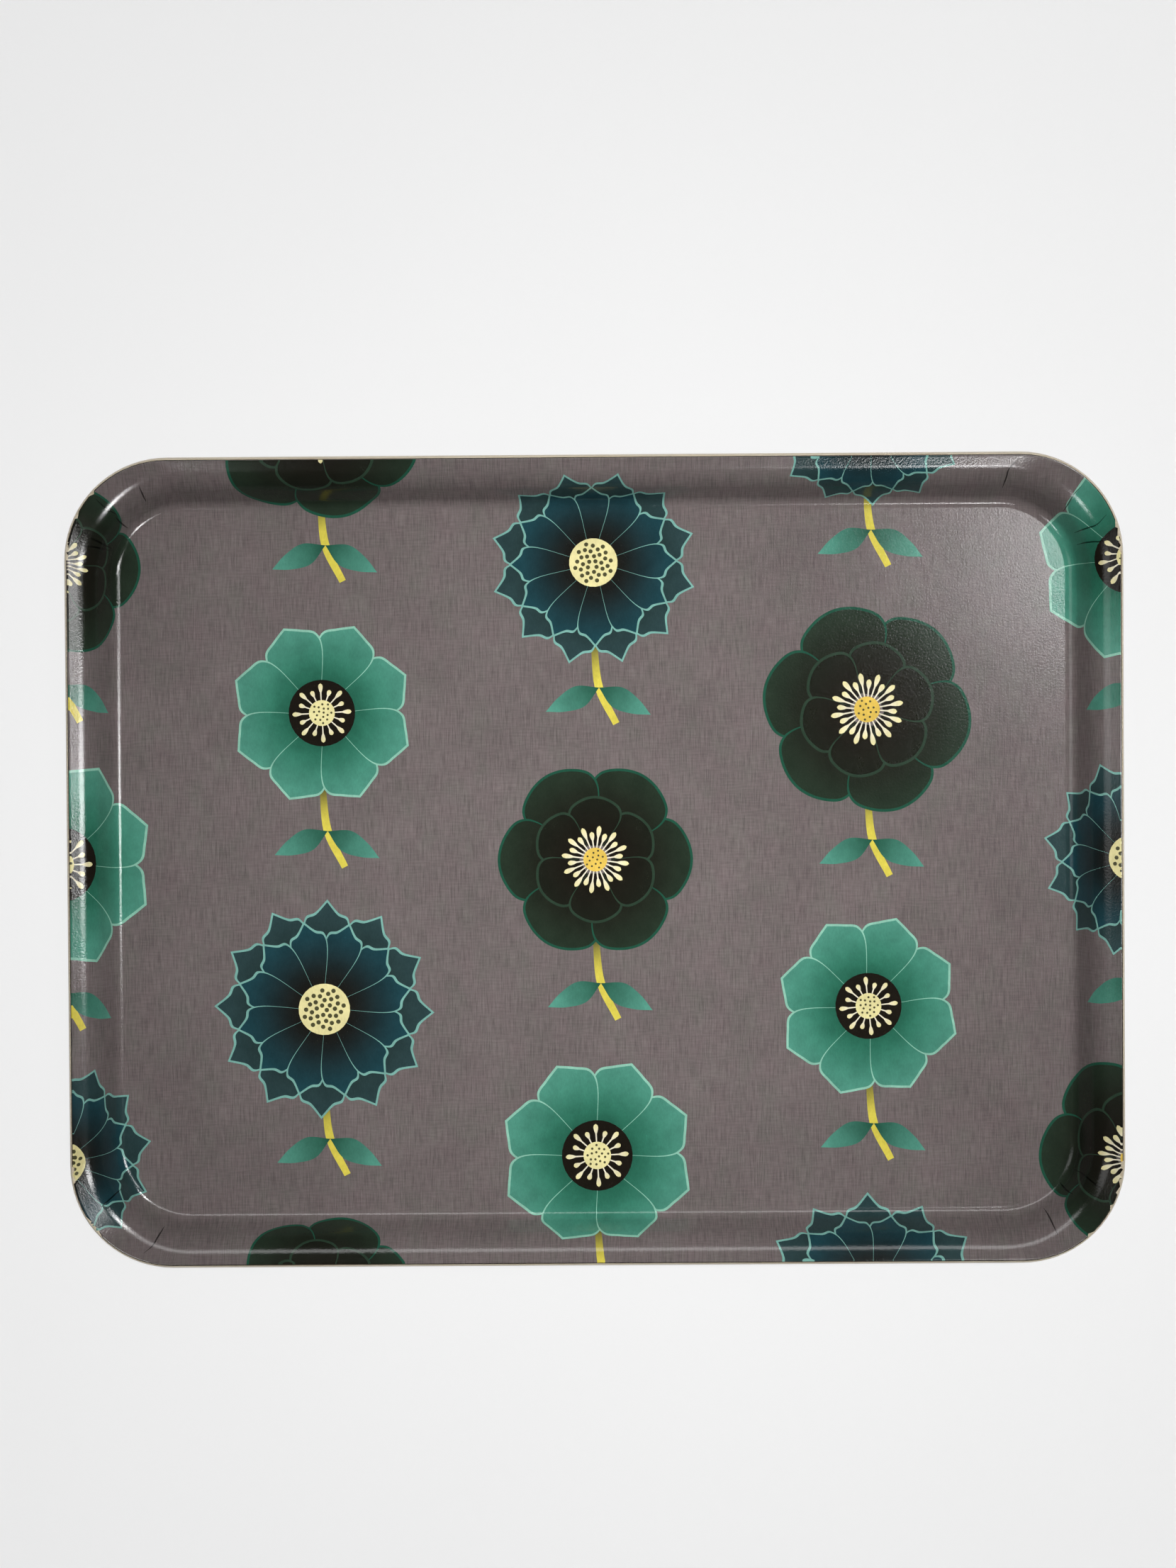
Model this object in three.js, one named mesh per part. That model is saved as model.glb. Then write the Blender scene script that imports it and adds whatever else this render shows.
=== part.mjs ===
// A press-moulded serving tray: a printed sheet under a clear overlay, on a core of birch plies.
// Millimetres, +Z up. The origin is the centre of the underside, on the surface the tray stands on.
import * as THREE from 'three';

// Overall size, over the cut edge.
const LENGTH = 430;
const WIDTH = 330;
const HEIGHT = 20;
const CORNER_RADIUS = 42;
// The wall and the floor turn their corners on a larger radius than the cut edge does, by this much.
const CORNER_EASE = 6.5;

// Thickness of each layer, and of the glue between two layers.
const OVERLAY_THICKNESS = 0.1;
const DECOR_THICKNESS = 0.2;
const VENEER_THICKNESS = 0.75;
const BACKING_THICKNESS = 0.2;
const GLUE_LINE = 0.05;

// The rim's section, measured on the top face from the cut edge in to the floor.
const LIP_LENGTH = 4.5;
const LIP_SLOPE = THREE.MathUtils.degToRad(18);
const SHOULDER_RADIUS = 15;
const WALL_SLOPE = THREE.MathUtils.degToRad(58);
const FLOOR_FILLET = 6;
const EDGE_ROUNDING = 1.2;

// Facets of the round stretches.
const CORNER_STEPS = 7;
const SHOULDER_STEPS = 3;
const FILLET_STEPS = 3;

// Finishes.
const clearMelamine = { color: 0xf2f0ec, roughness: 0.22, transparent: true, opacity: 0.2 };
const printedPaper = { color: 0x686260, roughness: 0.45 };
const birchAlong = { color: 0xd9bf94, roughness: 0.6 };
const birchAcross = { color: 0xcbad80, roughness: 0.65 };
const greyBacking = { color: 0x57524f, roughness: 0.5 };

// The layers in the order they lie in the press, from the top face down.
const LAYERS = [
  { name: 'wear_overlay', thickness: OVERLAY_THICKNESS, finish: clearMelamine },
  { name: 'decor_sheet', thickness: DECOR_THICKNESS, finish: printedPaper },
  { name: 'face_ply', thickness: VENEER_THICKNESS, finish: birchAlong },
  { name: 'upper_cross_ply', thickness: VENEER_THICKNESS, finish: birchAcross },
  { name: 'core_ply', thickness: VENEER_THICKNESS, finish: birchAlong },
  { name: 'lower_cross_ply', thickness: VENEER_THICKNESS, finish: birchAcross },
  { name: 'back_ply', thickness: VENEER_THICKNESS, finish: birchAlong },
  { name: 'backing_sheet', thickness: BACKING_THICKNESS, finish: greyBacking },
];

// Gives each layer the depths of its two faces under the tray's top face.
function stackLayers(layers) {
  let depth = 0;
  return layers.map((layer) => {
    const top = depth;
    const bottom = top + layer.thickness;
    depth = bottom + GLUE_LINE;
    return { ...layer, top, bottom };
  });
}

const stack = stackLayers(LAYERS);
const THICKNESS = stack.at(-1).bottom;

// How far the rounded cut edge draws a point in, at a depth under the top face.
function edgeDrawIn(depth) {
  const fromFace = Math.min(depth, THICKNESS - depth);
  const left = Math.max(EDGE_ROUNDING - fromFace, 0);
  return EDGE_ROUNDING - Math.sqrt(EDGE_ROUNDING ** 2 - left ** 2);
}

// The lip slopes, so its lower layers reach further out than its top face, and less high.
const layerDepths = stack.flatMap((layer) => [layer.top, layer.bottom]);
const edgeReach = Math.max(...layerDepths.map(
  (depth) => depth * Math.sin(LIP_SLOPE) - edgeDrawIn(depth) * Math.cos(LIP_SLOPE),
));
const edgeDrop = Math.min(...layerDepths.map(
  (depth) => depth * Math.cos(LIP_SLOPE) + edgeDrawIn(depth) * Math.sin(LIP_SLOPE),
));

// Stations along the top face: distance in from the outline, height, slope, and ease of the corners.
function rimStations() {
  const stations = [];
  const add = (inward, up, slope, ease = CORNER_EASE) => stations.push({ inward, up, slope, ease });

  let inward = edgeReach;
  let up = HEIGHT + edgeDrop;
  add(inward, up, LIP_SLOPE, 0);
  inward += LIP_LENGTH * Math.cos(LIP_SLOPE);
  up -= LIP_LENGTH * Math.sin(LIP_SLOPE);
  add(inward, up, LIP_SLOPE);

  const shoulderInward = inward - SHOULDER_RADIUS * Math.sin(LIP_SLOPE);
  const shoulderUp = up - SHOULDER_RADIUS * Math.cos(LIP_SLOPE);
  for (let step = 1; step <= SHOULDER_STEPS; step += 1) {
    const slope = LIP_SLOPE + (WALL_SLOPE - LIP_SLOPE) * (step / SHOULDER_STEPS);
    inward = shoulderInward + SHOULDER_RADIUS * Math.sin(slope);
    up = shoulderUp + SHOULDER_RADIUS * Math.cos(slope);
    add(inward, up, slope);
  }

  const filletRise = FLOOR_FILLET * (1 - Math.cos(WALL_SLOPE));
  const wallRise = up - THICKNESS - filletRise;
  const filletInward = inward + wallRise / Math.tan(WALL_SLOPE) + FLOOR_FILLET * Math.sin(WALL_SLOPE);
  const filletUp = THICKNESS + FLOOR_FILLET;
  for (let step = 0; step <= FILLET_STEPS; step += 1) {
    const slope = WALL_SLOPE * (1 - step / FILLET_STEPS);
    add(filletInward - FLOOR_FILLET * Math.sin(slope), filletUp - FLOOR_FILLET * Math.cos(slope), slope);
  }
  return stations;
}

// A level ring with round corners, counter-clockwise, a distance in from the tray's outline.
function outlineRing(inward, up, ease) {
  const turn = CORNER_RADIUS + ease;
  const radius = turn - inward;
  const centreX = LENGTH / 2 - turn;
  const centreY = WIDTH / 2 - turn;
  const corners = [[1, 1], [-1, 1], [-1, -1], [1, -1]];
  const ring = [];
  corners.forEach(([sideX, sideY], quarter) => {
    for (let step = 0; step <= CORNER_STEPS; step += 1) {
      const angle = (quarter + step / CORNER_STEPS) * (Math.PI / 2);
      const x = sideX * centreX + radius * Math.cos(angle);
      const y = sideY * centreY + radius * Math.sin(angle);
      ring.push(new THREE.Vector3(x, y, up));
    }
  });
  return ring;
}

// The rings of one face of a layer, from the cut edge in to the floor.
function faceRings(depth) {
  return rimStations().map(({ inward, up, slope, ease }, index) => {
    const drawIn = index === 0 ? edgeDrawIn(depth) : 0;
    return outlineRing(
      inward - depth * Math.sin(slope) + drawIn * Math.cos(slope),
      up - depth * Math.cos(slope) - drawIn * Math.sin(slope),
      ease,
    );
  });
}

// One closed layer between two depths under the tray's top face.
function layerGeometry(topDepth, bottomDepth) {
  const points = [];
  const triangles = [];
  const addRing = (ring) => {
    const first = points.length;
    points.push(...ring);
    return ring.map((_, index) => first + index);
  };
  const join = (outer, inner) => outer.forEach((corner, index) => {
    const next = (index + 1) % outer.length;
    triangles.push([corner, outer[next], inner[next]], [corner, inner[next], inner[index]]);
  });
  const cap = (ring) => {
    for (let index = 1; index < ring.length - 1; index += 1) {
      triangles.push([ring[0], ring[index], ring[index + 1]]);
    }
  };

  const upper = faceRings(topDepth).map(addRing);
  const lower = faceRings(bottomDepth).map(addRing);
  for (let index = 0; index < upper.length - 1; index += 1) {
    join(upper[index], upper[index + 1]);
    join(lower[index + 1], lower[index]);
  }
  join(lower[0], upper[0]);
  cap(upper.at(-1));
  cap(lower.at(-1).toReversed());

  const geometry = new THREE.BufferGeometry().setFromPoints(points);
  geometry.setIndex(triangles.flat());
  geometry.computeVertexNormals();
  return geometry;
}

const tray = new THREE.Group();
tray.name = 'serving_tray';
for (const layer of stack) {
  const material = new THREE.MeshStandardMaterial({ metalness: 0, ...layer.finish });
  const mesh = new THREE.Mesh(layerGeometry(layer.top, layer.bottom), material);
  mesh.name = layer.name;
  tray.add(mesh);
}

export default tray;
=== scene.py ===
import math

import bpy
import numpy as np
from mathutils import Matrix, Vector
from mathutils.geometry import delaunay_2d_cdt


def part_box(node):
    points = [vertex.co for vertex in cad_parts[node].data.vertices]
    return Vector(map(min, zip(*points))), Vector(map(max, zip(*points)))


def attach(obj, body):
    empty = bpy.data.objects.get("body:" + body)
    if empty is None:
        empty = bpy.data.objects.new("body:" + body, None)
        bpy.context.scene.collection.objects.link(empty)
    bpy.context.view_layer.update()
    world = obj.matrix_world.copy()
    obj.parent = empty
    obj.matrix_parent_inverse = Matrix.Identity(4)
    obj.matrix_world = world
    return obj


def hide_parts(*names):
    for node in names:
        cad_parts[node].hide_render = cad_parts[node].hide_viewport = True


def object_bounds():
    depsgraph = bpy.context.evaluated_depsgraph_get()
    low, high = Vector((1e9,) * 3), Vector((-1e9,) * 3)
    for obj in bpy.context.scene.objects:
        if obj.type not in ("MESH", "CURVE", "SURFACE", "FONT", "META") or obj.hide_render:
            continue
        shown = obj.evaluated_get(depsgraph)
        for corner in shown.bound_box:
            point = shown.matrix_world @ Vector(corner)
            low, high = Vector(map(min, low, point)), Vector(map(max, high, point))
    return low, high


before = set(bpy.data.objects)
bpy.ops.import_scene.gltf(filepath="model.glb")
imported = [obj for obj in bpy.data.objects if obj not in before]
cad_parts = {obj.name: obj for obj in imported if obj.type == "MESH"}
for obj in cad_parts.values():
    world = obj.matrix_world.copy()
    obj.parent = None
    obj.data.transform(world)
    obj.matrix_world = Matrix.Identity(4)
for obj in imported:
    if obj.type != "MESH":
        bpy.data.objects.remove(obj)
cad_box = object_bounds()

MM = 0.001

# The rim's section, in mm, along the tray's top face. These are the CAD's own values.
CORNER_RADIUS = 42
CORNER_EASE = 6.5
LIP_LENGTH = 4.5
LIP_SLOPE = math.radians(18)
SHOULDER_RADIUS = 15
WALL_SLOPE = math.radians(58)
FLOOR_FILLET = 6
EDGE_ROUNDING = 1.2
OVERLAY_THICKNESS = 0.1
GLUE_LINE = 0.05

LAYERS = [
    "wear_overlay",
    "decor_sheet",
    "face_ply",
    "upper_cross_ply",
    "core_ply",
    "lower_cross_ply",
    "back_ply",
    "backing_sheet",
]


# ---------------------------------------------------------------- the tray's form

def floor_height(node):
    """Height of a layer's lower face at the tray's floor, in mm."""
    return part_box(node)[0].z / MM


HALF_LENGTH = cad_box[1].x / MM
HALF_WIDTH = cad_box[1].y / MM
HEIGHT = cad_box[1].z / MM
THICKNESS = floor_height("wear_overlay") + OVERLAY_THICKNESS


def layer_depths():
    """Each layer's two depths under the top face, in mm."""
    depths = {}
    top = 0.0
    for node in LAYERS:
        bottom = THICKNESS - floor_height(node)
        depths[node] = (top, bottom)
        top = bottom + GLUE_LINE
    return depths


DEPTHS = layer_depths()
PRINT_DEPTH = DEPTHS["decor_sheet"][1]


def edge_draw_in(depth):
    """How far the rounded cut edge draws a point in, at a depth under the top face."""
    left = max(EDGE_ROUNDING - min(depth, THICKNESS - depth), 0)
    return EDGE_ROUNDING - math.sqrt(EDGE_ROUNDING**2 - left**2)


def edge_limits():
    """How far the lip's lower layers reach past its top face, and how far the top face stands proud."""
    faces = [d for pair in DEPTHS.values() for d in pair]
    reach = max(d * math.sin(LIP_SLOPE) - edge_draw_in(d) * math.cos(LIP_SLOPE) for d in faces)
    drop = min(d * math.cos(LIP_SLOPE) + edge_draw_in(d) * math.sin(LIP_SLOPE) for d in faces)
    return reach, drop


EDGE_REACH, EDGE_DROP = edge_limits()

# Lengths of the four stretches of the section, from the floor's edge outwards.
FILLET_ARC = FLOOR_FILLET * WALL_SLOPE
SHOULDER_ARC = SHOULDER_RADIUS * (WALL_SLOPE - LIP_SLOPE)
WALL_RISE = (
    HEIGHT + EDGE_DROP - THICKNESS
    - LIP_LENGTH * math.sin(LIP_SLOPE)
    - SHOULDER_RADIUS * (math.cos(LIP_SLOPE) - math.cos(WALL_SLOPE))
    - FLOOR_FILLET * (1 - math.cos(WALL_SLOPE))
)
WALL_ARC = WALL_RISE / math.sin(WALL_SLOPE)
RIM_ARC = FILLET_ARC + WALL_ARC + SHOULDER_ARC + LIP_LENGTH


def section(arc):
    """Run, rise and slope of the top face, at a distance along it from the floor's edge."""
    fillet = np.clip(arc, 0, FILLET_ARC)
    wall = np.clip(arc - FILLET_ARC, 0, WALL_ARC)
    shoulder = np.clip(arc - FILLET_ARC - WALL_ARC, 0, SHOULDER_ARC)
    lip = np.maximum(arc - FILLET_ARC - WALL_ARC - SHOULDER_ARC, 0)
    low = fillet / FLOOR_FILLET
    high = WALL_SLOPE - shoulder / SHOULDER_RADIUS
    run = (
        FLOOR_FILLET * np.sin(low)
        + wall * math.cos(WALL_SLOPE)
        + SHOULDER_RADIUS * (math.sin(WALL_SLOPE) - np.sin(high))
        + lip * math.cos(LIP_SLOPE)
    )
    rise = (
        FLOOR_FILLET * (1 - np.cos(low))
        + wall * math.sin(WALL_SLOPE)
        + SHOULDER_RADIUS * (np.cos(high) - math.cos(WALL_SLOPE))
        + lip * math.sin(LIP_SLOPE)
    )
    return run, rise, low - shoulder / SHOULDER_RADIUS


# The floor and the wall turn about a centre that lies further in than the cut edge's.
CORNER_X = HALF_LENGTH - CORNER_RADIUS - CORNER_EASE
CORNER_Y = HALF_WIDTH - CORNER_RADIUS - CORNER_EASE
FLOOR_CORNER = CORNER_RADIUS + CORNER_EASE - EDGE_REACH - float(section(np.array(RIM_ARC))[0])
LIP_START = RIM_ARC - LIP_LENGTH
# The print's top face ends where the cut edge starts to round off.
PRINT_ARC = RIM_ARC - EDGE_ROUNDING
SETTLING_ROUNDS = 16


def corner_shift(arc):
    """How far the corner's centre has moved out, at a distance along the sheet from the floor's edge."""
    return CORNER_EASE * np.clip((arc - LIP_START) / (LIP_LENGTH - EDGE_ROUNDING), 0, 1)


def from_floor(points):
    """Distance of flat points out of the floor's outline, and the way out there."""
    past = np.abs(points) - [CORNER_X, CORNER_Y]
    inside = np.minimum(past.max(axis=1), 0)
    distance = np.zeros(len(points))
    for _ in range(SETTLING_ROUNDS):
        shift = corner_shift(distance)
        outside = np.maximum(past - shift[:, None], 0)
        reach = np.hypot(outside[:, 0], outside[:, 1])
        distance = reach + inside - FLOOR_CORNER + np.where(reach > 0, shift, 0)
    way = outside / np.maximum(reach, 1e-9)[:, None] * np.sign(points)
    return distance, way


def drape(points, depth=0.0, push=0.0):
    """Lays flat sheet points over the tray's form, a depth under its top face and pushed outwards.

    Returns places and normals, in mm.
    """
    distance, way = from_floor(points)
    arc = np.maximum(distance, 0)
    run, rise, slope = section(arc + push)
    out = run - arc + depth * np.sin(slope)
    plan = points + way * np.where(distance > 0, out, 0)[:, None]
    height = THICKNESS + rise - depth * np.cos(slope)
    places = np.column_stack([plan, height])
    normals = np.column_stack([-way * np.sin(slope)[:, None], np.cos(slope)])
    return places, normals


# How finely the rings and the stretches of the rim are divided.
CORNER_STEPS = 18
SIDE_STEP = 9.0
FILLET_STEPS = 7
WALL_STEPS = 3
SHOULDER_STEPS = 7
LIP_STEPS = 2


def ring(arc):
    """A closed ring of flat points, a distance along the sheet from the floor's edge."""
    points = []
    shift = float(corner_shift(arc))
    radius = FLOOR_CORNER + arc - shift
    corners = [(1, 1), (-1, 1), (-1, -1), (1, -1)]
    for quarter, (side_x, side_y) in enumerate(corners):
        for step in range(CORNER_STEPS + 1):
            angle = (quarter + step / CORNER_STEPS) * math.pi / 2
            x = side_x * (CORNER_X + shift) + radius * math.cos(angle)
            y = side_y * (CORNER_Y + shift) + radius * math.sin(angle)
            points.append((x, y))
        straight = CORNER_Y if quarter % 2 else CORNER_X
        length = 2 * (straight + shift)
        steps = round(2 * straight / SIDE_STEP)
        along = (-math.sin(angle), math.cos(angle))
        for step in range(1, steps):
            share = length * step / steps
            points.append((x + along[0] * share, y + along[1] * share))
    return np.array(points)


def spans(length, steps, start):
    """Evenly spaced values from a start, without the last one."""
    return [start + length * step / steps for step in range(steps)]


def rim_stations(end):
    """Distances from the floor's edge at which the rim's rings lie, up to the last one."""
    wall = FILLET_ARC + WALL_ARC
    lip = wall + SHOULDER_ARC
    stations = spans(FILLET_ARC, FILLET_STEPS, 0.0) + spans(WALL_ARC, WALL_STEPS, FILLET_ARC)
    stations += spans(SHOULDER_ARC, SHOULDER_STEPS, wall) + spans(end - lip, LIP_STEPS, lip)
    return stations + [end]


# ---------------------------------------------------------------- meshes

def new_piece(name, places, faces, normals, material, nodes=()):
    """A mesh piece from points in mm, with one normal for each corner of each face."""
    mesh = bpy.data.meshes.new(name)
    mesh.from_pydata((np.asarray(places) * MM).tolist(), [], faces)
    mesh.polygons.foreach_set("use_smooth", [True] * len(mesh.polygons))
    mesh.normals_split_custom_set(np.asarray(normals).tolist())
    mesh.materials.append(material)
    piece = bpy.data.objects.new(name, mesh)
    bpy.context.scene.collection.objects.link(piece)
    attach(piece, "root")
    if nodes:
        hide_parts(*nodes)
    return piece


def face_normal(corners):
    """Normal of a polygon, by Newell's sum."""
    after = np.roll(corners, -1, axis=0)
    normal = np.cross(corners, after).sum(axis=0)
    return normal / max(np.linalg.norm(normal), 1e-12)


def edge_normal(depth, inner, out_slope, way):
    """Normal of the rounded cut edge at a depth."""
    upper = max(EDGE_ROUNDING - depth, 0) / EDGE_ROUNDING
    lower = max(EDGE_ROUNDING - (THICKNESS - depth), 0) / EDGE_ROUNDING
    across = upper - lower
    tangent = np.column_stack([way * math.cos(out_slope), np.full(len(way), math.sin(out_slope))])
    return tangent * math.sqrt(max(1 - across**2, 0)) + inner * across


# Spacing of the rings down the cut edge, in a veneer and in a paper.
VENEER_RINGS = 0.25
PAPER_RINGS = 0.1
THICKEST_PAPER = 0.3


def edge_depths(top, bottom):
    """Depths at which the cut edge of one layer has a ring."""
    step = VENEER_RINGS if bottom - top > THICKEST_PAPER else PAPER_RINGS
    count = max(1, math.ceil((bottom - top) / step))
    return [top + (bottom - top) * index / count for index in range(count + 1)]


def shell(name, node, material):
    """One pressed layer as a closed dish, with its cut edge rounded, in place of its CAD node."""
    top, bottom = DEPTHS[node]
    rows = []
    for arc in rim_stations(RIM_ARC - edge_draw_in(top)):
        rows.append(drape(ring(arc), top))
    for depth in edge_depths(top, bottom):
        places, inner = drape(ring(RIM_ARC - edge_draw_in(depth)), depth)
        _, way = from_floor(ring(RIM_ARC))
        rows.append((places, edge_normal(depth, inner, LIP_SLOPE, way)))
    for arc in reversed(rim_stations(RIM_ARC - edge_draw_in(bottom))):
        places, inner = drape(ring(arc), bottom)
        rows.append((places, -inner))

    # The rows at the cut edge share their places with the faces' last rows, and differ in normal.
    count = len(rows[0][0])
    places = []
    groups = []
    for row, (points, _) in enumerate(rows):
        same = row > 0 and np.allclose(points, rows[row - 1][0])
        if not same:
            places.extend(points)
        groups.append(len(places) - count)

    faces, normals = [], []
    for row in range(len(rows) - 1):
        if groups[row] == groups[row + 1]:
            continue
        for index in range(count):
            after = (index + 1) % count
            faces.append([
                groups[row] + index,
                groups[row + 1] + index,
                groups[row + 1] + after,
                groups[row] + after,
            ])
            near, far = rows[row][1], rows[row + 1][1]
            normals.extend([near[index], far[index], far[after], near[after]])
    faces.append(list(range(groups[0], groups[0] + count)))
    normals.extend([(0, 0, 1)] * count)
    faces.append(list(range(groups[-1], groups[-1] + count))[::-1])
    normals.extend([(0, 0, -1)] * count)
    return new_piece(name, places, faces, normals, material, [node])


# ---------------------------------------------------------------- colours

def ink(red, green, blue):
    """A colour given as it looks on a screen, from 0 to 255, as linear light."""
    values = np.array([red, green, blue]) / 255
    return np.where(values <= 0.04045, values / 12.92, ((values + 0.055) / 1.055) ** 2.4)


BLACK = ink(30, 26, 21)
GREEN_BLACK = ink(31, 37, 29)
DEEP_GREEN = ink(47, 66, 52)
BOTTLE = ink(36, 84, 66)
SEA_GREEN = ink(44, 118, 94)
LIGHT_SEA = ink(92, 160, 141)
TURQUOISE = ink(127, 181, 170)
MINT = ink(146, 202, 180)
PETROL = ink(34, 78, 88)
SLATE = ink(50, 74, 77)
CREAM = ink(241, 231, 168)
PALE_CREAM = ink(246, 238, 214)
SUN = ink(236, 200, 92)
STEM_YELLOW = ink(226, 211, 86)
OLIVE = ink(82, 80, 54)
EDGE_LINE = ink(60, 50, 42)


def plain(colour):
    """Paint of one colour."""
    return lambda points: np.tile(colour, (len(points), 1))


def washes(base, *spots):
    """Paint with soft spots of other colours: x, y, reach along x and y, colour, strength.

    A strength over 1 gives the spot a flat middle of the full colour.
    """
    def paint(points):
        colours = np.tile(base, (len(points), 1))
        for x, y, reach_x, reach_y, tint, strength in spots:
            away = ((points[:, 0] - x) / reach_x) ** 2 + ((points[:, 1] - y) / reach_y) ** 2
            if strength > 1:
                weight = 1 - (1 - np.exp(-away)) ** strength
            else:
                weight = strength * np.exp(-away)
            colours += weight[:, None] * (tint - colours)
        return colours
    return paint


def along_line(start, end, *stops):
    """Paint that changes along a line: each stop is a share of the way and a colour."""
    start, end = np.array(start, float), np.array(end, float)
    line = end - start
    shares = [stop[0] for stop in stops]
    tints = np.array([stop[1] for stop in stops])

    def paint(points):
        share = (points - start) @ line / (line @ line)
        return np.column_stack([np.interp(share, shares, tints[:, k]) for k in range(3)])
    return paint


# ---------------------------------------------------------------- outlines

def smooth(points, steps=7):
    """Points on a smooth open curve through the given ones."""
    given = np.array(points, float)
    if len(given) == 2:
        return given
    padded = np.vstack([2 * given[0] - given[1], given, 2 * given[-1] - given[-2]])
    curve = []
    for index in range(1, len(padded) - 2):
        a, b, c, d = padded[index - 1:index + 3]
        for step in range(steps):
            t = step / steps
            curve.append(
                b + 0.5 * t * (c - a + t * (2 * a - 5 * b + 4 * c - d + t * (3 * (b - c) + d - a)))
            )
    curve.append(given[-1])
    return np.array(curve)


def outline(*runs, steps=7):
    """A closed outline of smooth runs that meet in corners. Each run starts where the last one ends."""
    return np.vstack([smooth(run, steps)[:-1] for run in runs])


def stroke(points, widths, steps=6):
    """A brush stroke along a smooth curve, as wide at each point as given there."""
    line = smooth(points, steps)
    shares = np.linspace(0, 1, len(line))
    wide = np.interp(shares, np.linspace(0, 1, len(widths)), widths)
    ahead = np.gradient(line, axis=0)
    ahead /= np.maximum(np.linalg.norm(ahead, axis=1), 1e-9)[:, None]
    side = np.column_stack([-ahead[:, 1], ahead[:, 0]]) * wide[:, None] / 2
    return np.vstack([line + side, (line - side)[::-1]])


def club(foot, tip, width, head, bend=0.0):
    """A stamen: a thin bent filament from its foot, with an oval head at its tip."""
    foot, tip = np.array(foot, float), np.array(tip, float)
    line = tip - foot
    side = np.array([-line[1], line[0]])
    middle = foot + line * 0.5 + side * bend
    spine = smooth([foot, middle, tip], 8)
    shares = np.linspace(0, 1, len(spine))
    stops = [0, 0.5, 0.66, 0.84, 0.95, 1]
    wide = np.interp(shares, stops, [width * 0.7, width, head * 0.75, head, head * 0.7, head * 0.1])
    ahead = np.gradient(spine, axis=0)
    ahead /= np.linalg.norm(ahead, axis=1)[:, None]
    across = np.column_stack([-ahead[:, 1], ahead[:, 0]]) * wide[:, None] / 2
    return np.vstack([spine + across, (spine - across)[::-1]])


def oval(x, y, reach_x, reach_y, turn=0.0, count=14):
    """An ellipse about a centre, turned in degrees."""
    angles = np.arange(count) * 2 * math.pi / count
    c, s = math.cos(math.radians(turn)), math.sin(math.radians(turn))
    px, py = reach_x * np.cos(angles), reach_y * np.sin(angles)
    return np.column_stack([x + c * px - s * py, y + s * px + c * py])


def lobe(angle, half, reach, pointed=0.0, base=0.3):
    """A broad petal of an open flower, about the origin: its middle, half its spread, and its reach."""
    def at(turn, radius):
        way = math.radians(angle + turn)
        return (radius * math.cos(way), radius * math.sin(way))
    left = [at(-half * 0.9, base), at(-half, reach * 0.7), at(-half * 0.8, reach * 0.89)]
    left += [at(-half * 0.4, reach * (0.97 - 0.05 * pointed)), at(0, reach * (1 + 0.06 * pointed))]
    right = [at(0, reach * (1 + 0.06 * pointed)), at(half * 0.4, reach * (0.97 - 0.05 * pointed))]
    right += [at(half * 0.8, reach * 0.89), at(half, reach * 0.7), at(half * 0.9, base)]
    if pointed:
        return outline(left, right, [right[-1], left[0]])
    return outline(left + right[1:], [right[-1], left[0]])


def leaf(foot, turn, length, width):
    """A pointed leaf from its foot, and its tip."""
    c, s = math.cos(math.radians(turn)), math.sin(math.radians(turn))

    def at(along, side):
        return (foot[0] + c * along - s * side, foot[1] + s * along + c * side)
    tip = at(length, 0)
    far = [at(0, 0), at(0.35 * length, 0.5 * width), at(0.7 * length, 0.36 * width), tip]
    near = [tip, at(0.7 * length, -0.36 * width), at(0.35 * length, -0.5 * width), at(0, 0)]
    return outline(far, near), tip


# ---------------------------------------------------------------- the blooms, in hundredths of their radius

# The golden angle, which spaces seeds evenly.
SEED_TURN = 2.4
PETAL_RIM = 2.6


def rosette(add, count, turn, reach, pointed, base, fill, rim):
    """A ring of equal petals, each with a fine rim of another colour."""
    half = 0.56 * 360 / count
    for index in range(count):
        angle = turn + 360 * index / count
        add(lobe(angle, half, reach, pointed, base), plain(rim))
        add(lobe(angle, half * (1 - PETAL_RIM / reach), reach - PETAL_RIM, pointed, base), fill)


def ring_of_stamens(add, count, near, far):
    """Straight stamens, every second one shorter."""
    for index in range(count):
        angle = 2 * math.pi * (index + 0.5) / count
        way = np.array([math.cos(angle), math.sin(angle)])
        tip = way * (far if index % 2 else 0.82 * far)
        paint = along_line(way * near, tip, (0.4, PALE_CREAM), (1, CREAM))
        add(club(way * near, tip, 1.5, 5.0), paint)


def seed_head(add, reach, seeds, disc, dot):
    """A round heart with dots in a spiral."""
    add(oval(0, 0, reach, reach, 0, 28), plain(disc))
    for index in range(seeds):
        far = 0.82 * reach * math.sqrt((index + 0.5) / seeds)
        x, y = far * math.cos(SEED_TURN * index), far * math.sin(SEED_TURN * index)
        add(oval(x, y, 0.09 * reach, 0.09 * reach, 0, 8), plain(dot))


def dark_bloom(add):
    """Two rings of six round black petals."""
    outer = washes(DEEP_GREEN, (0, 0, 74, 74, BLACK, 2.2))
    inner = washes(GREEN_BLACK, (0, 0, 46, 46, BLACK, 2.0))
    rosette(add, 6, 0, 98, 0, 26, outer, BOTTLE)
    rosette(add, 6, 30, 64, 0, 16, inner, DEEP_GREEN)
    ring_of_stamens(add, 24, 10, 34)
    seed_head(add, 12, 13, SUN, OLIVE)


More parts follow.
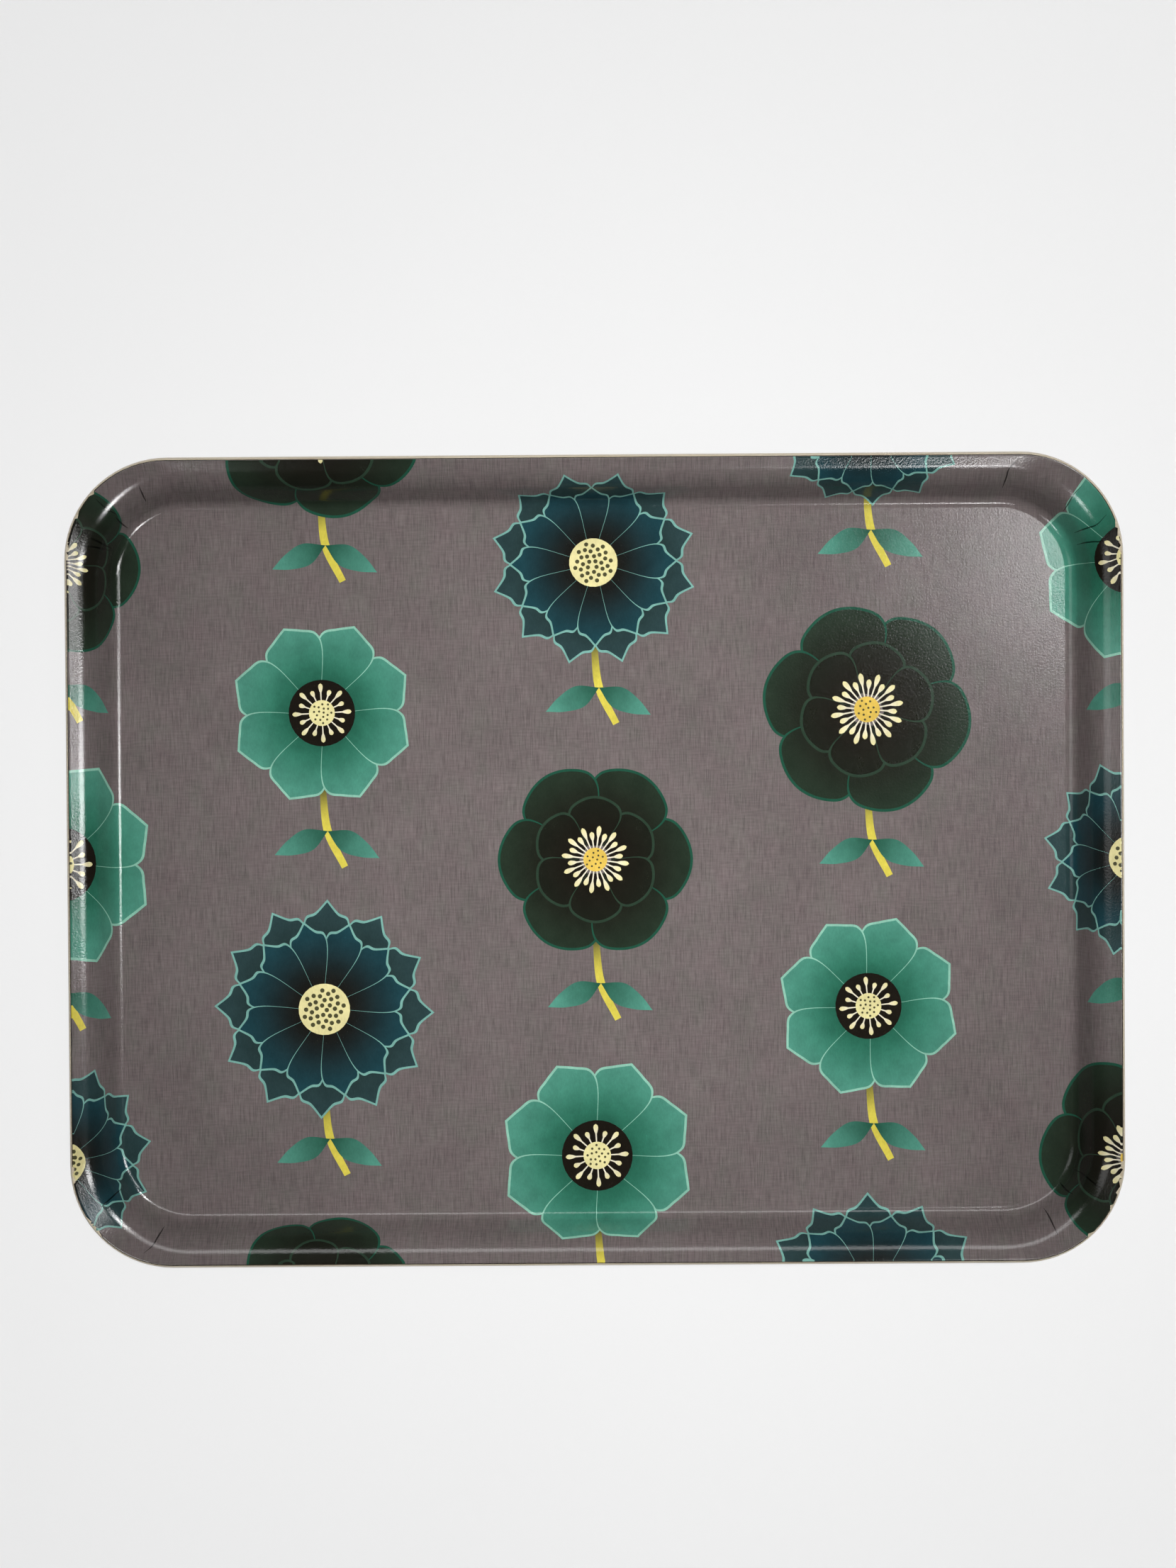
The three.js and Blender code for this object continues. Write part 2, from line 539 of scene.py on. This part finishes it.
def green_bloom(add):
    """Eight green petals with pale tips round a dark heart."""
    petals = washes(LIGHT_SEA, (0, 0, 66, 66, SEA_GREEN, 2.0), (0, 0, 38, 38, BOTTLE, 1.6))
    rosette(add, 8, 10, 98, 0.4, 22, petals, MINT)
    add(oval(0, 0, 36, 36, 0, 32), plain(BLACK))
    ring_of_stamens(add, 16, 12, 32)
    seed_head(add, 14, 17, CREAM, OLIVE)


def blue_bloom(add):
    """Twelve slim petrol petals over twelve darker ones."""
    back = washes(SLATE, (0, 0, 60, 60, GREEN_BLACK, 2.0))
    front = washes(PETROL, (0, 0, 52, 52, BLACK, 2.2))
    rosette(add, 12, 15, 98, 0.8, 26, back, TURQUOISE)
    rosette(add, 12, 0, 80, 0.8, 22, front, TURQUOISE)
    seed_head(add, 24, 34, CREAM, OLIVE)


# ---------------------------------------------------------------- the print's layout on the sheet, in mm

# A plain half-drop repeat: columns of blooms, with each second column half a row lower.
COLUMN_PITCH = 112
ROW_PITCH = 122
COLUMNS = range(-2, 3)
ROWS = range(-1, 3)
BLOOM_RADIUS = 41
KINDS = [dark_bloom, green_bloom, blue_bloom]
STEM_LENGTH = 33
STEM_WIDTHS = [2.6, 3.4, 2.8]
LEAF_LENGTH = 24
LEAF_WIDTH = 9


def lay_out():
    """Name, kind, centre, radii and turn of each bloom of the repeat."""
    blooms = []
    for column in COLUMNS:
        for row in ROWS:
            x = column * COLUMN_PITCH
            y = (row - 0.5 * (column % 2)) * ROW_PITCH
            radius = BLOOM_RADIUS * (1 + 0.08 * math.sin(5 * column + 3 * row))
            kind = KINDS[(column + 2 * row) % len(KINDS)]
            name = f"bloom_{len(blooms) + 1}"
            blooms.append((name, kind, (x, y), (radius, radius), 17 * column + 31 * row))
    return blooms


BLOOMS = lay_out()


def stem_of(bloom):
    """The regions of the short stem with two leaves that hangs under a bloom."""
    name, _, (x, y), (_, radius), _ = bloom
    name = name.replace("bloom", "stem")
    top = y - 0.8 * radius
    foot = (x + 9, top - STEM_LENGTH)
    middle = (x + 2, top - 0.55 * STEM_LENGTH)
    line = stroke([(x, top), middle, foot], STEM_WIDTHS)
    regions = [(name, line, along_line((x, top), foot, (0, OLIVE), (0.4, STEM_YELLOW), (1, STEM_YELLOW)))]
    for turn in (-28, 204):
        shape, tip = leaf(middle, turn, LEAF_LENGTH, LEAF_WIDTH)
        regions.append((name, shape, along_line(middle, tip, (0, BOTTLE), (1, LIGHT_SEA))))
    return regions


# Fine creases in the rim's corners, drawn flat as thin lines of painted shade: corner, turn about it in
# degrees, and the shares of the rim's width between which each one runs, with how far it swings sideways in
# degrees.
CREASES = [
    ((-1, 1), 116, 0.44, 0.74, 1.0),
    ((-1, 1), 138, 0.22, 0.56, 1.4),
    ((-1, 1), 137, 0.60, 0.92, -1.2),
    ((-1, 1), 157, 0.28, 0.95, 0.8),
    ((-1, 1), 161, 0.34, 0.93, -1.0),
    ((1, 1), 88, 0.40, 0.88, 1.4),
    ((1, 1), 46, 0.45, 0.90, -2.0),
    ((1, 1), 27, 0.36, 0.92, 1.0),
    ((1, 1), 18, 0.30, 0.95, 1.6),
    ((1, -1), -24, 0.24, 0.94, 2.0),
    ((1, -1), -35, 0.10, 0.45, -3.0),
    ((1, -1), -60, 0.26, 0.80, 1.0),
    ((-1, -1), -110, 0.40, 0.90, 1.2),
    ((-1, -1), -148, 0.35, 0.88, -1.2),
]
CREASE_WIDTH = 0.7
CREASE_POINTS = 5
# Painted shade: the creases are flat, and their colours are darkened by this factor in place of the shade
# in a real crease's groove.
CREASE_PAINTED_SHADE = 0.22


def crease_lines():
    """The middle line of each crease, on the flat sheet."""
    lines = []
    for (side_x, side_y), turn, near, far, swing in CREASES:
        line = []
        for share in np.linspace(near, far, CREASE_POINTS):
            way = math.radians(turn + swing * math.sin(CREASE_POINTS * share))
            shift = float(corner_shift(share * RIM_ARC))
            reach = FLOOR_CORNER + share * RIM_ARC - shift
            line.append((
                side_x * (CORNER_X + shift) + reach * math.cos(way),
                side_y * (CORNER_Y + shift) + reach * math.sin(way),
            ))
        lines.append(smooth(line, 4))
    return lines


def crease_outline(line):
    """The thin shape of a crease, which narrows at both ends."""
    return stroke(line, [0.2 * CREASE_WIDTH, CREASE_WIDTH, CREASE_WIDTH, 0.2 * CREASE_WIDTH])


def inks():
    """Every inked region of the print: its piece, its outline on the sheet, and its paint."""
    regions = [region for bloom in BLOOMS for region in stem_of(bloom)]
    for name, bloom, centre, radii, turn in BLOOMS:
        c, s = math.cos(math.radians(turn)), math.sin(math.radians(turn))
        spin = np.array([[c, s], [-s, c]])
        scale = np.array(radii) / 100

        def add(points, paint, name=name, centre=centre, spin=spin, scale=scale):
            placed = (np.asarray(points, float) @ spin) * scale + centre

            def on_sheet(places):
                return paint(((places - centre) / scale) @ spin.T)
            regions.append((name, placed, on_sheet))
        bloom(add)
    return regions


# ---------------------------------------------------------------- cutting the print

# Points inside a bloom lie in rows, clear of its outlines' own points and of the cut edge.
GRID = 2.3
GRID_ROW = 0.866 * GRID
GRID_SHIFT = (0.011, 0.013)
GRID_OVERLAP = 1.04
GRID_MARGIN = 0.4
# Points closer than this are one.
SEAM = 1e-4


def grid_over(centre, reach):
    """Points in rows over a disc, to carry the soft changes of colour in a bloom."""
    rows = int(reach / GRID_ROW) + 1
    points = []
    for row in range(-rows, rows + 1):
        shift = GRID / 2 if row % 2 else 0
        for column in range(-rows, rows + 1):
            x, y = column * GRID + shift, row * GRID_ROW
            if x * x + y * y < reach * reach:
                points.append((centre[0] + x + GRID_SHIFT[0], centre[1] + y + GRID_SHIFT[1]))
    return points


def cut_sheet(regions, lines, rings):
    """Triangles of the flat sheet, cut along every outline, crease and ring of the rim."""
    points, edges = [], []

    def add_loop(loop, closed_loop=True):
        first = len(points)
        points.extend(map(tuple, loop))
        count = len(loop)
        last = count if closed_loop else count - 1
        edges.extend((first + i, first + (i + 1) % count) for i in range(last))

    for loop in rings:
        add_loop(loop)
    for _, loop, _ in regions:
        add_loop(loop)
    for line in lines:
        add_loop(crease_outline(line))
    for _, _, centre, radii, _ in BLOOMS:
        grid = np.array(grid_over(centre, max(radii) * GRID_OVERLAP))
        distance, _ = from_floor(grid)
        points.extend(map(tuple, grid[distance < PRINT_ARC - GRID_MARGIN]))

    flat, _, triangles, _, _, _ = delaunay_2d_cdt([Vector(p) for p in points], edges, [], 0, SEAM)
    flat = np.array([(p.x, p.y) for p in flat])
    triangles = np.array(triangles)
    centres = flat[triangles].mean(axis=1)
    distance, _ = from_floor(centres)
    return flat, triangles[distance < PRINT_ARC]


def inside(points, loop):
    """Which points lie inside a closed outline."""
    result = np.zeros(len(points), bool)
    low, high = loop.min(axis=0), loop.max(axis=0)
    near = np.flatnonzero(((points > low) & (points < high)).all(axis=1))
    x, y = points[near].T
    odd = np.zeros(len(near), bool)
    for (ax, ay), (bx, by) in zip(loop, np.roll(loop, -1, axis=0)):
        crosses = (ay > y) != (by > y)
        if ay != by:
            odd ^= crosses & (x < ax + (y - ay) * (bx - ax) / (by - ay))
    result[near] = odd
    return result


BEVEL_DEPTHS = [0.0, 0.02, 0.07, 0.14, 0.2, PRINT_DEPTH]
EDGE_TOLERANCE = 0.01


def build_print(ground_material, ink_material):
    """The print and its overlay, inlaid: the ground, and a piece for each bloom and stem."""
    regions = inks()
    lines = crease_lines()
    rings = [ring(arc) for arc in rim_stations(PRINT_ARC)]
    flat, triangles = cut_sheet(regions, lines, rings)
    centres = flat[triangles].mean(axis=1)

    owner = np.full(len(triangles), -1)
    for index, (_, loop, _) in enumerate(regions):
        owner[inside(centres, loop)] = index
    # The triangles inside the creases, which get painted shade.
    crease = np.zeros(len(triangles), bool)
    for line in lines:
        crease |= inside(centres, crease_outline(line))

    distance, _ = from_floor(flat)
    on_edge = distance > PRINT_ARC - EDGE_TOLERANCE
    names = [name for name, _, _ in regions]
    pieces = {"print_ground": owner < 0}
    for name in dict.fromkeys(names):
        pieces[name] = np.isin(owner, [i for i, n in enumerate(names) if n == name])
    for name, members in pieces.items():
        if members.any():
            material = ground_material if name == "print_ground" else ink_material
            nodes = ["wear_overlay", "decor_sheet"] if name == "print_ground" else []
            inlay(name, flat, triangles[members], owner[members], crease[members], regions,
                  on_edge, material, nodes)


def inlay(name, flat, triangles, owner, crease, regions, on_edge, material, nodes):
    """One inked piece of the sheet as a closed solid, with its colours at its faces' corners."""
    used, index = np.unique(triangles, return_inverse=True)
    triangles = index.reshape(-1, 3)
    sheet = flat[used]
    places, normals, columns, rim = inlay_points(sheet, on_edge[used])
    colours = inlay_colours(sheet, triangles, owner, crease, regions)

    faces, face_normals, face_colours = [], [], []
    for triangle, tint in zip(triangles, colours):
        faces.append(list(triangle))
        face_normals.extend(normals[triangle])
        face_colours.extend(tint)
    for triangle in triangles:
        faces.append([len(used) + corner for corner in triangle[::-1]])
        face_normals.extend(-normals[triangle[::-1]])
        face_colours.extend([EDGE_LINE] * 3)
    for face, tints in inlay_sides(triangles, colours, columns, on_edge[used]):
        faces.append(face)
        face_normals.extend([face_normal(places[face])] * len(face))
        face_colours.extend(tints)

    piece = new_piece(name, places, faces, face_normals, material, nodes)
    store_colours(piece, face_colours)
    store_sheet(piece, sheet, len(places), columns, rim)
    return piece


def inlay_points(sheet, edge):
    """Points of a piece: its top, its bottom, and the levels of the cut edge's rounding.

    Returns the places, the top's normals, the points down each side, and which lie on the cut edge.
    """
    count = len(sheet)
    top, normals = drape(sheet)
    bottom, _ = drape(sheet, PRINT_DEPTH)
    places = [*top, *bottom]
    columns = [[i, count + i] for i in range(count)]
    rim = np.flatnonzero(edge)
    if len(rim):
        for i in rim:
            columns[i] = [i]
        for depth in BEVEL_DEPTHS[1:]:
            push = edge_draw_in(0.0) - edge_draw_in(depth)
            row, _ = drape(sheet[rim], depth, push)
            for i, place in zip(rim, row):
                if depth == PRINT_DEPTH:
                    places[count + i] = place
                    columns[i].append(count + i)
                else:
                    columns[i].append(len(places))
                    places.append(place)
    return np.array(places), normals, columns, rim


def inlay_colours(sheet, triangles, owner, crease, regions):
    """The paint at each corner of each triangle of the top, with painted shade in the creases."""
    colours = np.ones((len(triangles), 3, 3))
    for region in np.unique(owner):
        if region >= 0:
            mine = owner == region
            corners = sheet[triangles[mine]].reshape(-1, 2)
            colours[mine] = regions[region][2](corners).reshape(-1, 3, 3)
    # Painted shade: the flat creases are darkened in place of a groove's shade.
    colours[crease] *= CREASE_PAINTED_SHADE
    return colours


def open_sides(triangles, colours):
    """The sides of the triangles that no other triangle shares, with the colours at their ends."""
    sides = {}
    for triangle, tint in zip(triangles, colours):
        for k in range(3):
            a, b = int(triangle[k]), int(triangle[(k + 1) % 3])
            if (b, a) in sides:
                del sides[(b, a)]
            else:
                sides[(a, b)] = (tint[k], tint[(k + 1) % 3])
    return sides


def inlay_sides(triangles, colours, columns, edge):
    """The faces between top and bottom, each with the colours of its corners."""
    for (a, b), (tint_a, tint_b) in open_sides(triangles, colours).items():
        if edge[a] and edge[b]:
            for level in range(len(BEVEL_DEPTHS) - 1):
                dark = BEVEL_DEPTHS[level + 1] > OVERLAY_THICKNESS + GLUE_LINE
                tints = [EDGE_LINE] * 4 if dark else [tint_a, tint_a, tint_b, tint_b]
                left, right = columns[a][level:level + 2], columns[b][level:level + 2]
                yield left + right[::-1], tints
        else:
            tints = [tint_a] * len(columns[a]) + [tint_b] * len(columns[b])
            yield columns[a] + columns[b][::-1], tints


def store_colours(piece, colours):
    """Keeps the paint as the mesh's own colours."""
    layer = piece.data.color_attributes.new("ink", "FLOAT_COLOR", "CORNER")
    rgba = np.ones((len(colours), 4))
    rgba[:, :3] = colours
    layer.data.foreach_set("color", rgba.astype(np.float32).ravel())


def store_sheet(piece, sheet, total, columns, rim):
    """Keeps where each point lies on the flat sheet, for the print's fine textures."""
    count = len(sheet)
    flat_places = np.zeros((total, 3))
    flat_places[:count, :2] = sheet
    flat_places[count:2 * count, :2] = sheet
    for i in rim:
        for row in columns[i]:
            flat_places[row, :2] = sheet[i]
    store = piece.data.attributes.new("sheet", "FLOAT_VECTOR", "POINT")
    store.data.foreach_set("vector", (flat_places * MM).astype(np.float32).ravel())


# ---------------------------------------------------------------- materials

class Nodes:
    """Short calls to build a material's node tree."""

    def __init__(self, name):
        self.material = bpy.data.materials.new(name)
        self.material.use_nodes = True
        self.tree = self.material.node_tree
        self.shader = self.tree.nodes["Principled BSDF"]

    def add(self, kind, **values):
        node = self.tree.nodes.new(kind)
        for key, value in values.items():
            setattr(node, key, value)
        return node

    def join(self, output, target):
        self.tree.links.new(output, target)

    def set(self, **values):
        for key, value in values.items():
            self.shader.inputs[key.replace("_", " ")].default_value = value

    def coords(self, source, scale):
        """Scaled coordinates: the object's own, or the flat sheet's."""
        if source == "sheet":
            start = self.add("ShaderNodeAttribute", attribute_name="sheet").outputs["Vector"]
        else:
            start = self.add("ShaderNodeTexCoord").outputs["Object"]
        mapping = self.add("ShaderNodeMapping")
        mapping.inputs["Scale"].default_value = scale
        self.join(start, mapping.inputs["Vector"])
        return mapping.outputs["Vector"]

    def noise(self, source, scale, detail=3.0, roughness=0.55):
        node = self.add("ShaderNodeTexNoise")
        node.inputs["Scale"].default_value = 1.0
        node.inputs["Detail"].default_value = detail
        node.inputs["Roughness"].default_value = roughness
        self.join(self.coords(source, scale), node.inputs["Vector"])
        return node.outputs["Fac"]

    def ramp(self, value, *stops):
        node = self.add("ShaderNodeValToRGB")
        ramp = node.color_ramp
        while len(ramp.elements) < len(stops):
            ramp.elements.new(0.5)
        for element, (place, colour) in zip(ramp.elements, stops):
            element.position = place
            element.color = (*colour, 1)
        self.join(value, node.inputs["Fac"])
        return node.outputs["Color"]

    def mix(self, a, b, factor, blend="MIX"):
        node = self.add("ShaderNodeMix", data_type="RGBA", blend_type=blend)
        for socket, value in [(node.inputs["Factor"], factor), (node.inputs[6], a), (node.inputs[7], b)]:
            if isinstance(value, (int, float)):
                socket.default_value = value
            elif isinstance(value, bpy.types.NodeSocket):
                self.join(value, socket)
            else:
                socket.default_value = (*value, 1)
        return node.outputs[2]

    def math(self, operation, a, b):
        node = self.add("ShaderNodeMath", operation=operation)
        for socket, value in zip(node.inputs, (a, b)):
            if isinstance(value, (int, float)):
                socket.default_value = value
            else:
                self.join(value, socket)
        return node.outputs[0]

    def bump(self, height, strength, distance):
        node = self.add("ShaderNodeBump")
        node.inputs["Strength"].default_value = strength
        node.inputs["Distance"].default_value = distance
        self.join(height, node.inputs["Height"])
        return node.outputs["Normal"]


def grey(value):
    """An even grey of a given lightness, as linear light."""
    return (value, value, value)


def satin_melamine(nodes, colour):
    """The print's clear face: a satin coat with the fine dimples of the press plate."""
    nodes.join(colour, nodes.shader.inputs["Base Color"])
    nodes.set(Roughness=0.5, Coat_Weight=1.0, Coat_Roughness=0.13, Coat_IOR=1.5)
    nodes.shader.inputs["Specular IOR Level"].default_value = 0.0
    dimples = nodes.noise("sheet", (1150, 1150, 1150), 2.0, 0.6)
    fine = nodes.noise("sheet", (3400, 900, 1000), 1.0)
    height = nodes.math("ADD", dimples, nodes.math("MULTIPLY", fine, 0.4))
    normal = nodes.bump(height, 0.6, 0.00006)
    nodes.join(normal, nodes.shader.inputs["Normal"])
    nodes.join(normal, nodes.shader.inputs["Coat Normal"])


def ground_print():
    """Warm grey ground with upright linen fibres and a faint violet and green mottle."""
    nodes = Nodes("print_ground")
    threads = nodes.noise("sheet", (2100, 110, 1000), 3.0, 0.65)
    weft = nodes.noise("sheet", (160, 1500, 1000), 2.0, 0.5)
    cloud = nodes.noise("sheet", (28, 28, 28), 3.0, 0.6)
    tint = nodes.noise("sheet", (90, 60, 60), 3.0, 0.6)
    base = nodes.ramp(tint, (0.3, ink(117, 106, 106)), (0.5, ink(116, 107, 106)), (0.7, ink(114, 108, 105)))
    fibre = nodes.ramp(threads, (0.3, grey(0.72)), (0.5, grey(1.0)), (0.72, grey(1.24)))
    cross = nodes.ramp(weft, (0.3, grey(0.91)), (0.7, grey(1.09)))
    shade = nodes.ramp(cloud, (0.3, grey(0.92)), (0.7, grey(1.08)))
    colour = nodes.mix(base, fibre, 1.0, "MULTIPLY")
    colour = nodes.mix(colour, cross, 1.0, "MULTIPLY")
    colour = nodes.mix(colour, shade, 1.0, "MULTIPLY")
    mark = nodes.add("ShaderNodeAttribute", attribute_name="ink").outputs["Color"]
    satin_melamine(nodes, nodes.mix(colour, mark, 1.0, "MULTIPLY"))
    return nodes.material


def inked_print():
    """The blooms' inks: brushed colour with a soft uneven wash and a little paper grain."""
    nodes = Nodes("print_ink")
    mark = nodes.add("ShaderNodeAttribute", attribute_name="ink").outputs["Color"]
    wash = nodes.noise("sheet", (130, 110, 100), 4.0, 0.6)
    grain = nodes.noise("sheet", (1500, 600, 1000), 2.0, 0.6)
    soft = nodes.ramp(wash, (0.3, grey(0.86)), (0.7, grey(1.12)))
    fine = nodes.ramp(grain, (0.3, grey(0.94)), (0.7, grey(1.06)))
    colour = nodes.mix(mark, soft, 1.0, "MULTIPLY")
    satin_melamine(nodes, nodes.mix(colour, fine, 1.0, "MULTIPLY"))
    return nodes.material


def birch(name, scale, light, dark):
    """Lacquered birch veneer: long streaks along its grain, and fine pores where it is cut across."""
    nodes = Nodes(name)
    streaks = nodes.noise("object", scale, 4.0, 0.6)
    pores = nodes.noise("object", tuple(4 * s for s in scale), 2.0, 0.5)
    cloud = nodes.noise("object", (60, 60, 200), 2.0)
    colour = nodes.ramp(streaks, (0.3, dark), (0.52, (light + dark) / 2), (0.72, light))
    speck = nodes.ramp(pores, (0.3, grey(0.88)), (0.5, grey(1.0)), (0.75, grey(1.05)))
    warm = nodes.ramp(cloud, (0.3, grey(0.93)), (0.7, grey(1.06)))
    colour = nodes.mix(colour, speck, 1.0, "MULTIPLY")
    colour = nodes.mix(colour, warm, 1.0, "MULTIPLY")
    nodes.join(colour, nodes.shader.inputs["Base Color"])
    nodes.set(Roughness=0.45, Coat_Weight=0.4, Coat_Roughness=0.3)
    nodes.join(nodes.bump(streaks, 0.25, 0.0001), nodes.shader.inputs["Normal"])
    return nodes.material


def grey_backing():
    """The plain sheet underneath: warm dark grey with a fine pressed grain."""
    nodes = Nodes("grey_backing")
    fleck = nodes.noise("object", (900, 900, 900), 3.0, 0.6)
    threads = nodes.noise("object", (1700, 160, 900), 2.0, 0.6)
    cloud = nodes.noise("object", (22, 22, 22), 2.0)
    colour = nodes.ramp(cloud, (0.3, ink(82, 76, 73)), (0.7, ink(92, 86, 82)))
    fine = nodes.ramp(fleck, (0.3, grey(0.9)), (0.7, grey(1.1)))
    lines = nodes.ramp(threads, (0.3, grey(0.92)), (0.7, grey(1.08)))
    colour = nodes.mix(colour, fine, 1.0, "MULTIPLY")
    colour = nodes.mix(colour, lines, 1.0, "MULTIPLY")
    nodes.join(colour, nodes.shader.inputs["Base Color"])
    nodes.set(Roughness=0.42)
    nodes.join(nodes.bump(fleck, 0.4, 0.00008), nodes.shader.inputs["Normal"])
    return nodes.material


def table_top():
    """The plain pale surface that the tray stands on."""
    nodes = Nodes("table_top")
    cloud = nodes.noise("object", (3, 3, 3), 2.0)
    colour = nodes.ramp(cloud, (0.3, grey(0.149)), (0.7, grey(0.151)))
    nodes.join(colour, nodes.shader.inputs["Base Color"])
    nodes.join(colour, nodes.shader.inputs["Emission Color"])
    nodes.set(Roughness=0.6, Emission_Strength=TABLE_GLOW)
    return nodes.material


# ---------------------------------------------------------------- studio

CAMERA_PLACE = Vector((0.002, 0.050, 1.12))
CAMERA_AIM = Vector((-0.0028, 0.0311, 0.0046))
CAMERA_ROLL = math.radians(-0.385)
LENS = 62.3
SENSOR = 36

# The main light hangs over the tray, a little to the far right, and its beam is brightest at the
# print's middle. It lights the colours, and the glossy face doesn't mirror it.
MAIN_PLACE = (0.78, 1.02, 5.2)
MAIN_AIM = (0.02, 0.02, 0)
MAIN_SIZE = 0.45
MAIN_SPREAD = math.radians(9.6)
MAIN_POWER = 1.24

# Each lamp that the face mirrors: its place and size in metres, and its brightness, where 1 is that
# of a white sheet on the table. They draw the lines of light along the rim.
LAMPS = [
    ("window_right", (1.12, -0.02, 2.0), (0.24, 0.62), 26.0),
    ("window_corner", (1.0, 1.1, 2.0), (0.36, 0.36), 40.0),
    ("lamp_near_right", (0.9, -1.2, 2.0), (0.30, 0.30), 50.0),
    ("lamp_near", (0.56, -1.2, 2.0), (0.34, 0.22), 26.0),
    ("lamp_near_left", (-0.9, -1.0, 2.0), (0.35, 0.35), 16.0),
    ("strip_far", (0.0, 1.3, 2.0), (2.6, 0.4), 4.0),
    ("panel_left", (-1.3, 0.1, 2.0), (0.5, 1.0), 1.6),
    ("glow", (0.64, 0.30, 2.0), (0.22, 0.32), 13.5),
]
SKY = 0.015
TABLE_SIZE = 12
# The table lies this far under the tray, so that the two faces never coincide.
TABLE_GAP = 0.0002
TABLE_GLOW = 4.95


def place_lamp(name, data, place, aim):
    """An object that hangs at its place and faces its aim."""
    lamp = bpy.data.objects.new(name, data)
    lamp.location = place
    lamp.rotation_euler = (Vector(aim) - Vector(place)).to_track_quat("-Z", "Y").to_euler()
    bpy.context.scene.collection.objects.link(lamp)
    return lamp


def main_light():
    """The one lamp that lights colours."""
    data = bpy.data.lights.new("main_light", "AREA")
    data.size = MAIN_SIZE
    data.spread = MAIN_SPREAD
    data.energy = MAIN_POWER
    place_lamp("main_light", data, MAIN_PLACE, MAIN_AIM).visible_glossy = False


def mirrored_card(name, place, size, brightness):
    """A glowing card that only the glossy face sees, as its mirror image."""
    nodes = Nodes(name)
    nodes.set(Base_Color=(0, 0, 0, 1), Emission_Color=(1, 1, 1, 1), Emission_Strength=brightness)
    nodes.shader.inputs["Specular IOR Level"].default_value = 0.0
    nodes.material.cycles.emission_sampling = "NONE"
    x, y = size[0] / 2, size[1] / 2
    mesh = bpy.data.meshes.new(name)
    mesh.from_pydata([(-x, -y, 0), (-x, y, 0), (x, y, 0), (x, -y, 0)], [], [(0, 1, 2, 3)])
    mesh.materials.append(nodes.material)
    card = place_lamp(name, mesh, place, (0, 0, 0))
    card.visible_camera = False
    card.visible_diffuse = False
    card.visible_transmission = False
    card.visible_shadow = False


def build_studio():
    """Table, lamps, sky and camera."""
    half = TABLE_SIZE / 2
    mesh = bpy.data.meshes.new("table")
    low = -TABLE_GAP
    corners = [(-half, -half, low), (half, -half, low), (half, half, low), (-half, half, low)]
    mesh.from_pydata(corners, [], [(0, 1, 2, 3)])
    mesh.materials.append(table_top())
    table = bpy.data.objects.new("table", mesh)
    bpy.context.scene.collection.objects.link(table)

    main_light()
    for lamp in LAMPS:
        mirrored_card(*lamp)

    world = bpy.data.worlds.new("studio")
    world.use_nodes = True
    world.node_tree.nodes["Background"].inputs["Color"].default_value = (*grey(SKY), 1)
    scene = bpy.context.scene
    scene.world = world
    scene.view_settings.view_transform = "Standard"

    data = bpy.data.cameras.new("camera")
    data.lens = LENS
    data.sensor_width = SENSOR
    camera = bpy.data.objects.new("camera", data)
    camera.location = CAMERA_PLACE
    turn = (CAMERA_AIM - CAMERA_PLACE).to_track_quat("-Z", "Y").to_matrix()
    up = Vector((-math.sin(CAMERA_ROLL), math.cos(CAMERA_ROLL), 0))
    back = (CAMERA_PLACE - CAMERA_AIM).normalized()
    right = up.cross(back).normalized()
    turn.col[0], turn.col[1], turn.col[2] = right, back.cross(right), back
    camera.rotation_euler = turn.to_euler()
    scene.collection.objects.link(camera)
    scene.camera = camera


def build_tray():
    """The print, the five veneers and the backing."""
    build_print(ground_print(), inked_print())
    along = birch("birch_along", (60, 900, 900), ink(224, 213, 190), ink(192, 176, 148))
    across = birch("birch_across", (900, 60, 900), ink(206, 190, 160), ink(172, 152, 120))
    shell("veneer_face", "face_ply", along)
    shell("veneer_cross_upper", "upper_cross_ply", across)
    shell("veneer_core", "core_ply", along)
    shell("veneer_cross_lower", "lower_cross_ply", across)
    shell("veneer_back", "back_ply", along)
    shell("backing", "backing_sheet", grey_backing())


build_tray()
build_studio()
